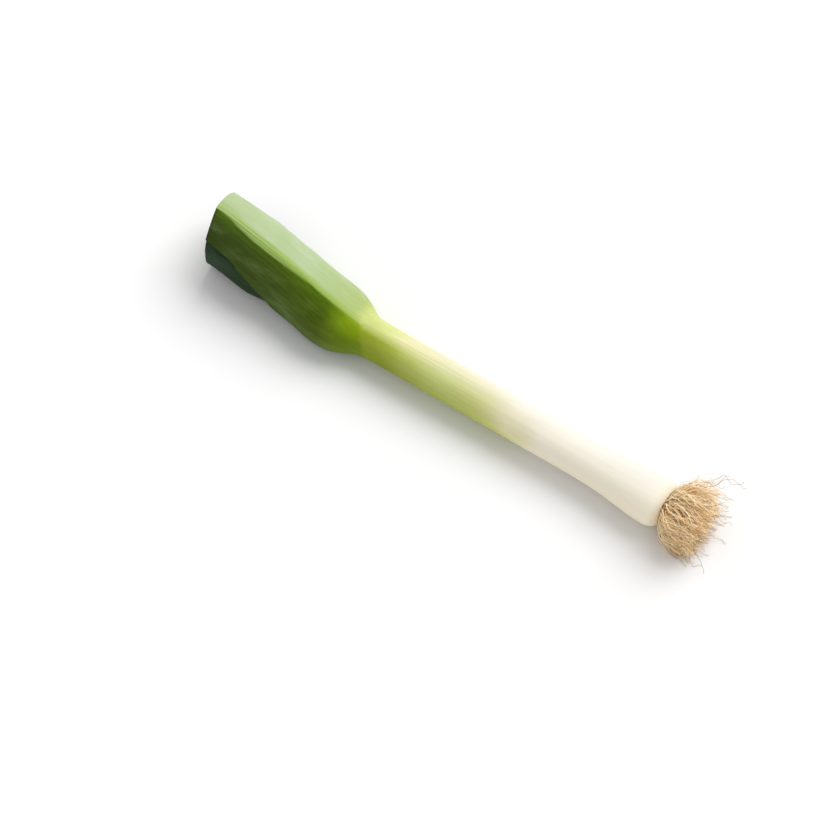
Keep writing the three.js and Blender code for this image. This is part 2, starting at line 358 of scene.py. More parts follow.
def rolled_sheet(name: str, across_cells: int, along_cells: int) -> tuple[bpy.types.Object, np.ndarray]:
    """Adds a flat grid that a form then bends to shape.

    Args:
        name: The piece's name.
        across_cells: Faces across the sheet.
        along_cells: Faces along it.

    Returns:
        The piece, and for each vertex its place across and along the sheet, each from 0 to 1.
    """
    deselect()
    bpy.ops.mesh.primitive_grid_add(x_subdivisions=across_cells, y_subdivisions=along_cells, size=1)
    piece = bpy.context.active_object
    piece.name = piece.data.name = name
    return piece, vectors(piece.data.vertices, "co")[:, :2] + 0.5


def set_points(piece: bpy.types.Object, points: np.ndarray) -> None:
    """Moves every vertex of a piece to its point."""
    piece.data.vertices.foreach_set("co", np.ascontiguousarray(points, dtype=np.float32).ravel())
    piece.data.update()


def set_grain(piece: bpy.types.Object, coordinates: np.ndarray) -> None:
    """Writes the map that veins and streaks follow.

    Args:
        piece: The piece.
        coordinates: For each vertex, two numbers.
    """
    layer = piece.data.uv_layers.active or piece.data.uv_layers.new()
    layer.name = GRAIN_MAP
    corners = np.empty(len(piece.data.loops), dtype=np.int32)
    piece.data.loops.foreach_get("vertex_index", corners)
    layer.data.foreach_set("uv", np.ascontiguousarray(coordinates[corners], dtype=np.float32).ravel())


def face_away_from(piece: bpy.types.Object, centre_line: np.ndarray) -> None:
    """Turns an open sheet so that its faces point away from a line inside it.

    Args:
        piece: The sheet.
        centre_line: For each vertex, the point inside that it should face away from.
    """
    normals = vectors(piece.data.vertex_normals, "vector")
    reach = vectors(piece.data.vertices, "co") - centre_line
    if np.einsum("ij,ij->i", normals, reach).mean() < 0:
        with editing(piece):
            bpy.ops.mesh.flip_normals()


def finish_piece(piece: bpy.types.Object, node: str | None, angle: float = 50) -> None:
    """Shades a piece, ties it to the body, and hides the CAD node that it stands for.

    Args:
        piece: The piece.
        node: The CAD node that it replaces, if it does.
        angle: Edges sharper than this many degrees stay sharp.
    """
    take(piece)
    bpy.ops.object.shade_smooth_by_angle(angle=math.radians(angle))
    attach(piece, "root")
    if node:
        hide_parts(node)
    LOG.info("%s: %d faces", piece.name, len(piece.data.polygons))


# ------------------------------------------------------------------ finishes


@dataclass(frozen=True)
class Pattern:
    """Soft noise: how many features a metre holds along each axis, and how much finer detail there is."""

    scale: Triple
    detail: float = 3
    roughness: float = 0.55


@dataclass(frozen=True)
class Rise:
    """A smooth step: where it starts and ends, and the numbers that it goes between."""

    start: float
    end: float
    low: float = 0
    high: float = 1


@dataclass(frozen=True)
class Layer:
    """A colour laid over others: where it starts and where it is full, and its share there."""

    start: float
    full: float
    share: float
    colour: Colour


class Shader:
    """A material under construction, with short calls for the nodes that the finishes share."""

    def __init__(self, name: str) -> None:
        """Starts a material with one Principled shader.

        Args:
            name: The material's name.
        """
        self.material = bpy.data.materials.new(name)
        self.material.use_nodes = True
        self.tree = self.material.node_tree
        self.surface = self.tree.nodes["Principled BSDF"]

    def node(self, kind: str, inputs: dict | None = None, **settings: object) -> bpy.types.Node:
        """Adds a node.

        Args:
            kind: The node's type.
            inputs: Values or sockets for its inputs, by name or number.
            settings: Its own settings.

        Returns:
            The node.
        """
        made = self.tree.nodes.new(kind)
        for setting, value in settings.items():
            setattr(made, setting, value)
        for key, value in (inputs or {}).items():
            self.put(made.inputs[key], value)
        return made

    def put(self, socket: Socket, value: object) -> None:
        """Links a socket to an input, or sets a value on it; colours are opaque.

        Args:
            socket: The input.
            value: A socket, a number, a vector or a colour.
        """
        if isinstance(value, bpy.types.NodeSocket):
            self.tree.links.new(value, socket)
        else:
            socket.default_value = (*value, 1.0) if socket.type == "RGBA" else value

    def place(self) -> Socket:
        """The point on the piece, in metres of the frame."""
        return self.node("ShaderNodeTexCoord").outputs["Object"]

    def grain(self) -> Socket:
        """The piece's own map, across and along it."""
        return self.node("ShaderNodeUVMap", uv_map=GRAIN_MAP).outputs["UV"]

    def parts(self, vector: Socket) -> tuple[Socket, Socket, Socket]:
        """A vector's three numbers."""
        split = self.node("ShaderNodeSeparateXYZ", {"Vector": vector})
        return split.outputs["X"], split.outputs["Y"], split.outputs["Z"]

    def noise(self, vector: Socket, pattern: Pattern) -> Socket:
        """Soft noise from 0 to 1.

        Args:
            vector: The place where it is read.
            pattern: How fine it is.

        Returns:
            The noise.
        """
        scaled = self.node("ShaderNodeMapping", {"Vector": vector, "Scale": pattern.scale}).outputs["Vector"]
        values = {"Vector": scaled, "Scale": 1.0, "Detail": pattern.detail, "Roughness": pattern.roughness}
        return self.node("ShaderNodeTexNoise", values).outputs["Fac"]

    def swing(self, vector: Socket, pattern: Pattern) -> Socket:
        """Soft noise about 0."""
        return self.less(self.noise(vector, pattern), 0.5)

    def maths(self, operation: str, *values: object) -> Socket:
        """A sum on one to three numbers."""
        return self.node("ShaderNodeMath", dict(enumerate(values)), operation=operation).outputs[0]

    def times(self, first: object, second: object) -> Socket:
        """A product."""
        return self.maths("MULTIPLY", first, second)

    def less(self, first: object, second: object) -> Socket:
        """A difference."""
        return self.maths("SUBTRACT", first, second)

    def over(self, first: object, second: object) -> Socket:
        """A quotient."""
        return self.maths("DIVIDE", first, second)

    def weighed(self, value: object, weight: object, rest: object) -> Socket:
        """A value times its weight, added to the rest."""
        return self.maths("MULTIPLY_ADD", value, weight, rest)

    def slope(self, value: Socket, start: object, end: object) -> Socket:
        """A straight rise of a value, from 0 at start to 1 at end."""
        values = {"Value": value, "From Min": start, "From Max": end}
        return self.node("ShaderNodeMapRange", values).outputs["Result"]

    def step(self, value: Socket, start: object, end: object, low: float = 0, high: float = 1) -> Socket:
        """A smooth step of a value, from low at start to high at end."""
        values = {"Value": value, "From Min": start, "From Max": end, "To Min": low, "To Max": high}
        return self.node("ShaderNodeMapRange", values, interpolation_type="SMOOTHSTEP").outputs["Result"]

    def follow(self, value: Socket, rise: Rise) -> Socket:
        """A number that follows a value along a smooth step."""
        return self.step(value, rise.start, rise.end, rise.low, rise.high)

    def blend(self, share: object, first: object, second: object) -> Socket:
        """Mixes two colours.

        Args:
            share: The share of the second one.
            first: A colour.
            second: Another colour.

        Returns:
            The mixed colour.
        """
        mixer = self.node("ShaderNodeMix", data_type="RGBA")
        for index, value in zip(MIX_COLOUR_INPUTS, (share, first, second)):
            self.put(mixer.inputs[index], value)
        return mixer.outputs[MIX_COLOUR_OUTPUT]

    def layered(self, colour: object, *layers: tuple[Socket, Layer]) -> Socket:
        """Lays colours over one another.

        Args:
            colour: The lowest colour.
            layers: The others, from below, each after the value that it follows.

        Returns:
            The colour of all together.
        """
        for value, layer in layers:
            cover = self.step(value, layer.start, layer.full, 0, layer.share)
            colour = self.blend(cover, colour, layer.colour)
        return colour

    def ramp(self, share: Socket, stations: ColourStations, length: float = 1.0) -> Socket:
        """Reads a colour between stations.

        Args:
            share: Where to read it, from 0 to 1.
            stations: Pairs of a place and a colour, in rising order.
            length: The place that stands for a share of 1.

        Returns:
            The colour.
        """
        made = self.node("ShaderNodeValToRGB", {"Fac": share})
        elements = made.color_ramp.elements
        while len(elements) < len(stations):
            elements.new(1.0)
        for element, (place, colour) in zip(elements, stations):
            element.position = place / length
            element.color = (*colour, 1.0)
        return made.outputs["Color"]

    def profile(self, share: Socket, stations: Stations) -> Socket:
        """A number from 0 to 1 read between stations."""
        return self.ramp(share, [(place, (value, value, value)) for place, value in stations])

    def tinted(self, colour: Socket, factor: Socket) -> Socket:
        """A colour made lighter or darker by a factor."""
        values = {"Vector": colour, "Scale": factor}
        return self.node("ShaderNodeVectorMath", values, operation="SCALE").outputs["Vector"]

    def relief(self, heights: Sequence[Socket], depths: Sequence[float]) -> None:
        """Presses patterns into the surface's normal, one after another.

        Args:
            heights: The patterns.
            depths: How deep each one is.
        """
        normal = None
        for height, depth in zip(heights, depths):
            bump = self.node("ShaderNodeBump", {"Height": height, "Distance": depth, "Strength": 1.0})
            if normal:
                self.put(bump.inputs["Normal"], normal)
            normal = bump.outputs["Normal"]
        self.put(self.surface.inputs["Normal"], normal)

    def set(self, **values: object) -> bpy.types.Material:
        """Sets the Principled shader's inputs.

        Args:
            values: A value or socket for each input, with underscores for the spaces in its name.

        Returns:
            The finished material.
        """
        for name, value in values.items():
            self.put(self.surface.inputs[name.replace("_", " ")], value)
        return self.material


@dataclass(frozen=True)
class SheathColour:
    """Sheath skin: creamy white at the bulb, green towards the leaves, with a painted sheen on its side
    toward the key light.

    The numbers of pale_side are the shares of Y and Z in how far a point lies on that side. Each pair of
    numbers named for the neck has the value on the shaft first, then the one at the neck.
    """

    length: float = 0.27
    pale_side: Span = (0.9, 0.43)
    side_reach: float = 0.016
    neck: Span = (0.2, 0.262)
    streaks: Pattern = Pattern((9, 520, 520))
    threads: Pattern = Pattern((14, 1700, 1700), detail=2)
    clouds: Pattern = Pattern((26, 60, 60))
    cloud_shift: float = 0.06
    streak_shift: float = 0.016
    shift_share: Rise = Rise(0.02, 0.12)
    neck_cloudiness: Span = (0.8, 0.2)
    lowest_side: float = -1.05
    neck_lower_end: Span = (0.0, 0.2)
    neck_upper_start: Span = (0.0, 0.05)
    neck_upper_end: Span = (0.85, 0.42)
    thread_depth: float = 0.55
    streak_depth: float = 0.3
    lining_share: Rise = Rise(0.11, 0.23, 0.02, 1.0)
    shaded: ColourStations = (
        (0, (0.82, 0.72, 0.53)), (0.006, (0.90, 0.82, 0.64)), (0.018, (0.88, 0.80, 0.62)),
        (0.108, (0.85, 0.77, 0.60)), (0.13, (0.74, 0.69, 0.38)), (0.146, (0.52, 0.54, 0.14)),
        (0.172, (0.38, 0.44, 0.065)), (0.204, (0.34, 0.39, 0.05)), (0.226, (0.26, 0.305, 0.022)),
        (0.246, (0.20, 0.25, 0.010)), (0.266, (0.21, 0.27, 0.012)),
    )
    middle: ColourStations = (
        (0, (0.84, 0.75, 0.58)), (0.006, (0.90, 0.84, 0.71)), (0.02, (0.88, 0.83, 0.71)),
        (0.104, (0.84, 0.79, 0.67)), (0.136, (0.75, 0.70, 0.48)), (0.158, (0.63, 0.64, 0.28)),
        (0.2, (0.56, 0.61, 0.235)), (0.222, (0.51, 0.55, 0.165)), (0.242, (0.39, 0.45, 0.065)),
        (0.266, (0.28, 0.35, 0.022)),
    )
    # The colours on the side toward the key light, painted paler: a painted sheen of that light.
    painted_sheen: ColourStations = (
        (0, (0.76, 0.69, 0.55)), (0.006, (0.78, 0.73, 0.63)), (0.016, (0.76, 0.73, 0.66)),
        (0.13, (0.74, 0.71, 0.63)), (0.16, (0.72, 0.67, 0.52)), (0.204, (0.69, 0.65, 0.45)),
        (0.226, (0.69, 0.65, 0.39)), (0.246, (0.59, 0.62, 0.25)), (0.266, (0.50, 0.56, 0.18)),
    )

    def build(self, s: Shader, form: PlantForm) -> Socket:
        """Adds the colour to a material.

        Args:
            s: The material under construction.
            form: The plant's outline, which tells where the base end and the axis are.

        Returns:
            The colour.
        """
        place = s.place()
        x, y, z = s.parts(place)
        u = s.less(form.base_x, x)

        def at_neck(values: Span) -> Socket:
            """A number that changes from the shaft to the neck."""
            return s.step(u, *self.neck, *values)

        # How far a point lies toward the key light, where the sheen is painted in.
        beside = s.times(s.less(y, form.axis_y), self.pale_side[0])
        above = s.less(z, form.axis_height * MM)
        side = s.over(s.weighed(above, self.pale_side[1], beside), self.side_reach)
        streak = s.swing(place, self.streaks)
        thread = s.swing(place, self.threads)
        cloud = s.swing(place, self.clouds)
        shift = s.weighed(cloud, self.cloud_shift, s.times(streak, self.streak_shift))
        share = s.over(s.weighed(shift, s.follow(u, self.shift_share), u), self.length)
        turned = s.weighed(cloud, at_neck(self.neck_cloudiness), side)
        lower = s.slope(turned, self.lowest_side, at_neck(self.neck_lower_end))
        upper = s.slope(turned, at_neck(self.neck_upper_start), at_neck(self.neck_upper_end))
        shaded, middle, painted_sheen = (
            s.ramp(share, stations, self.length) for stations in (self.shaded, self.middle, self.painted_sheen)
        )
        # The side toward the key light takes the painted sheen.
        skin = s.blend(upper, s.blend(lower, shaded, middle), painted_sheen)
        lining = s.weighed(thread, self.thread_depth, s.times(streak, self.streak_depth))
        return s.tinted(skin, s.weighed(lining, s.follow(u, self.lining_share), 1.0))


@dataclass(frozen=True)
class BladeNoises:
    """The noises, each about 0, that all parts of the outermost blade share."""

    streak: Socket
    thread: Socket
    rib: Socket
    fleck: Socket
    cloud: Socket


@dataclass(frozen=True)
class OuterBladeColour:
    """The outermost blade: one half dark green, the other, toward the key light, pale with wax bloom and a
    painted sheen, a bright keel between.

    Places along the blade are shares of its length. Distances from the keel are below 0 on the dark half.
    """

    base: float = 0.262
    length: float = 0.145
    streaks: Pattern = Pattern((440, 36, 1), detail=4)
    threads: Pattern = Pattern((1500, 40, 1), detail=2)
    ribs: Pattern = Pattern((760, 6, 1), detail=1)
    flecks: Pattern = Pattern((900, 160, 1))
    clouds: Pattern = Pattern((30, 90, 90), detail=4)
    waver: float = 0.0028
    cut_waver: Rise = Rise(0.8, 1.0, 0.12, 0.0)
    cut_edge: Layer = Layer(0.980, 0.995, 0.6, (0.035, 0.035, 0.008))

    shaded: ColourStations = (
        (0.0, (0.150, 0.225, 0.004)), (0.11, (0.118, 0.186, 0.0025)), (0.234, (0.067, 0.106, 0.0035)),
        (0.366, (0.062, 0.104, 0.004)), (0.49, (0.054, 0.089, 0.005)), (0.745, (0.046, 0.075, 0.007)),
        (1.0, (0.034, 0.060, 0.007)),
    )
    fresh: ColourStations = (
        (0.0, (0.250, 0.350, 0.004)), (0.12, (0.210, 0.320, 0.003)), (0.234, (0.077, 0.146, 0.001)),
        (0.40, (0.063, 0.125, 0.001)), (0.6, (0.062, 0.116, 0.002)), (1.0, (0.064, 0.120, 0.006)),
    )
    fresh_start: float = -0.004
    fresh_breadth: Rise = Rise(0.3, 0.1, -0.013, -0.022)
    fresh_share: Rise = Rise(0.75, 0.35, 0.75, 0.9)
    haze: Colour = (0.13, 0.17, 0.085)
    haze_clouds: Rise = Rise(-0.03, 0.2)
    haze_flecks: Rise = Rise(-0.2, 0.15)
    haze_start: float = -0.006
    haze_breadth: Rise = Rise(0.4, 0.6, -0.032, -0.016)
    haze_share: float = 0.3
    scuff: Colour = (0.26, 0.31, 0.19)
    scuff_margin: Rise = Rise(-0.024, -0.036)
    scuff_along: Rise = Rise(0.42, 0.2)
    scuff_flecks: Rise = Rise(0.0, 0.16, 0.0, 0.18)
    thread_depth: float = 0.8
    cloud_depth: float = 1.3
    lining_share: Rise = Rise(0.0, 0.25, 0.4, 1.0)

    # The pale half's colour along the blade: wax bloom with the key light's sheen painted in.
    bloom_and_sheen: ColourStations = (
        (0.0, (0.50, 0.565, 0.22)), (0.10, (0.365, 0.44, 0.15)), (0.24, (0.345, 0.44, 0.18)),
        (0.45, (0.38, 0.47, 0.265)), (1.0, (0.37, 0.455, 0.24)),
    )
    bloom_and_sheen_start: float = 0.0004
    bloom_and_sheen_full: Rise = Rise(0.75, 0.95, 0.006, 0.012)
    vein: Layer = Layer(0.0, 0.2, 0.3, (0.22, 0.34, 0.08))
    broad_vein: Layer = Layer(0.02, 0.2, 0.3, (0.25, 0.36, 0.11))
    wax: Layer = Layer(0.0, 0.2, 0.35, (0.46, 0.53, 0.36))
    bare_margin: Layer = Layer(0.036, 0.066, 0.8, (0.12, 0.18, 0.035))
    margin_waver: float = 0.03

    keel: ColourStations = (
        (0.0, (0.46, 0.53, 0.16)), (0.12, (0.33, 0.435, 0.095)), (0.24, (0.27, 0.39, 0.065)),
        (0.37, (0.26, 0.38, 0.07)), (0.5, (0.30, 0.42, 0.10)), (1.0, (0.31, 0.42, 0.145)),
    )
    keel_reach: float = 0.006
    keel_edge: Stations = (
        (0.0, 0.43), (0.11, 0.33), (0.234, 0.27), (0.36, 0.25), (0.49, 0.62),
        (0.61, 0.88), (0.745, 0.8), (0.87, 0.45), (0.94, 0.27), (1.0, 0.2),
    )
    keel_softness: Span = (0.0012, 0.0007)
    keel_line: Colour = (0.15, 0.26, 0.03)
    keel_lines: Rise = Rise(0.02, 0.07)
    keel_line_share: Rise = Rise(0.1, 0.85, 0.2, 0.8)

    def shaded_half(self, s: Shader, across: Socket, share: Socket, noises: BladeNoises) -> Socket:
        """The dark half: fine veins, livelier beside the keel, a thin haze of wax in patches.

        Args:
            s: The material under construction.
            across: Distance from the keel.
            share: Place along the blade.
            noises: The shared noises.

        Returns:
            The colour.
        """
        beside = s.step(across, s.follow(share, self.fresh_breadth), self.fresh_start)
        lively = s.times(beside, s.follow(share, self.fresh_share))
        dark = s.blend(lively, s.ramp(share, self.shaded), s.ramp(share, self.fresh))
        haze = s.times(s.follow(noises.cloud, self.haze_clouds), s.follow(noises.fleck, self.haze_flecks))
        spread = s.step(across, self.haze_start, s.follow(share, self.haze_breadth), 0, self.haze_share)
        dark = s.blend(s.times(haze, spread), dark, self.haze)
        scuffs = s.times(s.follow(across, self.scuff_margin), s.follow(share, self.scuff_along))
        dark = s.blend(s.times(scuffs, s.follow(noises.fleck, self.scuff_flecks)), dark, self.scuff)
        lining = s.weighed(noises.thread, self.thread_depth, noises.streak)
        lining = s.weighed(noises.cloud, self.cloud_depth, lining)
        dark = s.tinted(dark, s.weighed(lining, s.follow(share, self.lining_share), 1.0))
        return s.layered(dark, (share, self.cut_edge))

    def bloom_and_sheen_half(self, s: Shader, across: Socket, share: Socket, noises: BladeNoises) -> Socket:
        """The pale half: greener veins under a wax bloom with a painted sheen of the key light, the bloom
        thicker in patches and both gone at the margin.

        Args:
            s: The material under construction.
            across: Distance from the keel.
            share: Place along the blade.
            noises: The shared noises.

        Returns:
            The colour.
        """
        return s.layered(
            s.ramp(share, self.bloom_and_sheen),
            (noises.thread, self.vein),
            (noises.streak, self.broad_vein),
            (noises.cloud, self.wax),
            (s.weighed(noises.streak, self.margin_waver, across), self.bare_margin),
        )

    def keel_band(self, s: Shader, share: Socket, noises: BladeNoises) -> Socket:
        """The bright keel with its close dark lines."""
        lines = s.times(s.follow(noises.rib, self.keel_lines), s.follow(share, self.keel_line_share))
        return s.blend(lines, s.ramp(share, self.keel), self.keel_line)

    def build(self, s: Shader) -> Socket:
        """Adds the colour to a material.

        Args:
            s: The material under construction.

        Returns:
            The colour.
        """
        grain = s.grain()
        across, u, _ = s.parts(grain)
        noises = BladeNoises(
            streak=s.swing(grain, self.streaks),
            thread=s.swing(grain, self.threads),
            rib=s.swing(grain, self.ribs),
            fleck=s.swing(grain, self.flecks),
            cloud=s.swing(s.place(), self.clouds),
        )
        share = s.over(s.less(u, self.base), self.length)
        wavering = s.weighed(noises.streak, self.waver, across)
        # Where the pale half begins: from here on, the wax bloom and the painted sheen cover the blade.
        wax_and_sheen = s.step(wavering, self.bloom_and_sheen_start, s.follow(share, self.bloom_and_sheen_full))
        reach = s.profile(share, self.keel_edge)
        edge = s.times(reach, -self.keel_reach)
        softness = s.weighed(reach, *self.keel_softness)
        bright = s.step(wavering, s.less(edge, softness), s.maths("ADD", edge, softness))
        share = s.weighed(noises.streak, s.follow(share, self.cut_waver), share)
        dark = self.shaded_half(s, across, share, noises)
        green = s.blend(bright, dark, self.keel_band(s, share, noises))
        return s.blend(wax_and_sheen, green, self.bloom_and_sheen_half(s, across, share, noises))


@dataclass(frozen=True)
class OuterSkin:
    """The outermost leaf's skin, from the bulb over the sheath and past the ligule to the cut.

    The ligule's line runs aslant: it lies further from the base on the pale half of the leaf.
    """

    name: str
    sheath: SheathColour = SheathColour()
    blade: OuterBladeColour = OuterBladeColour()
    ligule: Rise = Rise(-0.024, 0.002, 0.256, 0.2675)
    ligule_waver: float = 0.009
    ligule_softness: Rise = Rise(-0.004, 0.006, 0.0065, 0.012)
    streaks: Pattern = Pattern((420, 12, 1))
    threads: Pattern = Pattern((1500, 26, 1), detail=2)
    clouds: Pattern = Pattern((30, 90, 90), detail=4)
    relief: Triple = (0.00005, 0.00018, 0.0003)
    dullness: Rise = Rise(0.3, 0.7, 0.40, 0.52)
    gloss: float = 0.1
    glow: float = 0.06
    glow_reach: Triple = (0.004, 0.003, 0.0015)

    def build(self, form: PlantForm) -> bpy.types.Material:
        """Makes the material.

        Args:
            form: The plant's outline.

        Returns:
            The material.
        """
        s = Shader(self.name)
        grain = s.grain()
        across, u, _ = s.parts(grain)
        streak, thread = s.noise(grain, self.streaks), s.noise(grain, self.threads)
        cloud = s.noise(s.place(), self.clouds)
        line = s.follow(across, self.ligule)
        beyond = s.less(s.weighed(s.less(streak, 0.5), self.ligule_waver, u), line)
        grown = s.step(s.over(beyond, s.follow(across, self.ligule_softness)), 0.0, 1.0)
        skin = s.blend(grown, self.sheath.build(s, form), self.blade.build(s))
        s.relief((thread, streak, cloud), self.relief)
        return s.set(
            Base_Color=skin,
            Roughness=s.follow(cloud, self.dullness),
            Specular_IOR_Level=self.gloss,
            Subsurface_Weight=self.glow,
            Subsurface_Radius=self.glow_reach,
            Subsurface_Scale=1.0,
        )


@dataclass(frozen=True)
class BladeFinish:
    """A blade further in: parallel veins, a paler keel and a light wax bloom in patches."""

    name: str
    dark: Colour
    light: Colour
    bloom: Colour
    keel: Colour
    young: Colour
    bloom_share: float = 0.5
    bloom_edge: Span = (0.38, 0.66)
    vein_edge: Span = (0.3, 0.7)
    fine_vein_edge: Span = (0.48, 0.7)
    fine_vein_share: float = 0.3
    keel_edge: Span = (0.0045, 0.001)
    keel_share: float = 0.8
    base: float = 0.262
    fresh_length: float = 0.04
    fresh_waver: float = 0.012
    streaks: Pattern = Pattern((520, 14, 1), detail=4)
    threads: Pattern = Pattern((1500, 30, 1), detail=2)
    clouds: Pattern = Pattern((30, 90, 90), detail=4)
    relief: Triple = (0.00005, 0.0002, 0.0004)
    dullness: Rise = Rise(0.35, 0.65, 0.42, 0.55)
    gloss: float = 0.15

    def build(self) -> bpy.types.Material:
        """Makes the material.

        Returns:
            The material.
        """
        s = Shader(self.name)
        grain = s.grain()
        across, u, _ = s.parts(grain)
        streak, thread = s.noise(grain, self.streaks), s.noise(grain, self.threads)
        cloud = s.noise(s.place(), self.clouds)
        wavering = s.weighed(s.less(streak, 0.5), self.fresh_waver, u)
        green = s.layered(
            self.dark,
            (streak, Layer(*self.vein_edge, 1, self.light)),
            (thread, Layer(*self.fine_vein_edge, self.fine_vein_share, self.light)),
            (cloud, Layer(*self.bloom_edge, self.bloom_share, self.bloom)),
            (s.maths("ABSOLUTE", across), Layer(*self.keel_edge, self.keel_share, self.keel)),
            (wavering, Layer(self.base + self.fresh_length, self.base, 1, self.young)),
        )
        s.relief((thread, streak, cloud), self.relief)
        rough = s.follow(cloud, self.dullness)
        return s.set(Base_Color=green, Roughness=rough, Specular_IOR_Level=self.gloss)


@dataclass(frozen=True)
class CutFinish:
    """Moist pale flesh where a blade is cut across, and the thin straw-green skin of its margins."""

    name: str = "cut flesh"
    pith: Colour = (0.26, 0.38, 0.10)
    flesh: Layer = Layer(0.35, 0.65, 1, (0.50, 0.60, 0.24))
    margin: Colour = (0.34, 0.36, 0.15)
    edge: Span = (0.4058, 0.4062)
    cells: Pattern = Pattern((900, 900, 900), detail=2)
    cell_depth: float = 0.0001
    dullness: float = 0.45
    gloss: float = 0.3

    def build(self) -> bpy.types.Material:
        """Makes the material.

        Returns:
            The material.
        """
        s = Shader(self.name)
        _, u, _ = s.parts(s.grain())
        cells = s.noise(s.place(), self.cells)
        wet = s.layered(self.pith, (cells, self.flesh))
        colour = s.blend(s.step(u, *self.edge), self.margin, wet)
        s.relief([cells], [self.cell_depth])
        return s.set(Base_Color=colour, Roughness=self.dullness, Specular_IOR_Level=self.gloss)


@dataclass(frozen=True)
class RootFinish:
    """Dry root fibre, each strand of its own tone, darker at its tip, and painted darker at its foot: a
    painted shade of the tuft's depths.
    """

    name: str = "dry root"
    # The colour of the painted shade at the roots' feet; it also darkens the mottle.
    foot: Colour = (0.55, 0.30, 0.07)
    dull: Colour = (0.92, 0.57, 0.26)
    bright: Colour = (1.0, 0.87, 0.60)
    mottle: Pattern = Pattern((500, 500, 500))
    mottle_edge: Span = (0.5, 0.8)
    mottle_share: float = 0.25
    mottle_depth: float = 0.0003
    foot_shade_edge: Span = (0.2, 0.0)
    tip_edge: Span = (0.5, 1.0)
    end_share: float = 0.2
    dullness: float = 0.7
    gloss: float = 0.15
    glow: float = 0.2
    glow_reach: Triple = (0.0014, 0.0011, 0.0008)

    def build(self) -> bpy.types.Material:
        """Makes the material.

        Returns:
            The material.
        """
        s = Shader(self.name)
        tone, reach, _ = s.parts(s.grain())
        mottle = s.noise(s.place(), self.mottle)
        colour = s.layered(
            s.blend(tone, self.dull, self.bright),
            (mottle, Layer(*self.mottle_edge, self.mottle_share, self.foot)),
            # Painted shade: each root darkens towards its foot, deep in the tuft by the plate.
            (reach, Layer(*self.foot_shade_edge, self.end_share, self.foot)),
            (reach, Layer(*self.tip_edge, self.end_share, self.dull)),
        )
        s.relief([mottle], [self.mottle_depth])
        return s.set(
            Base_Color=colour,
            Roughness=self.dullness,
            Specular_IOR_Level=self.gloss,
            Subsurface_Weight=self.glow,
            Subsurface_Radius=self.glow_reach,
            Subsurface_Scale=1.0,
        )


@dataclass(frozen=True)
class FloorFinish:
    """Plain pale studio floor."""

    name: str = "studio floor"
    tone: Colour = (0.86, 0.86, 0.86)
    dullness: float = 0.9
    gloss: float = 0.1

    def build(self) -> bpy.types.Material:
        """Makes the material."""
        values = {"Roughness": self.dullness, "Specular_IOR_Level": self.gloss}
        return Shader(self.name).set(Base_Color=self.tone, **values)


# ------------------------------------------------------------------ sub-assemblies


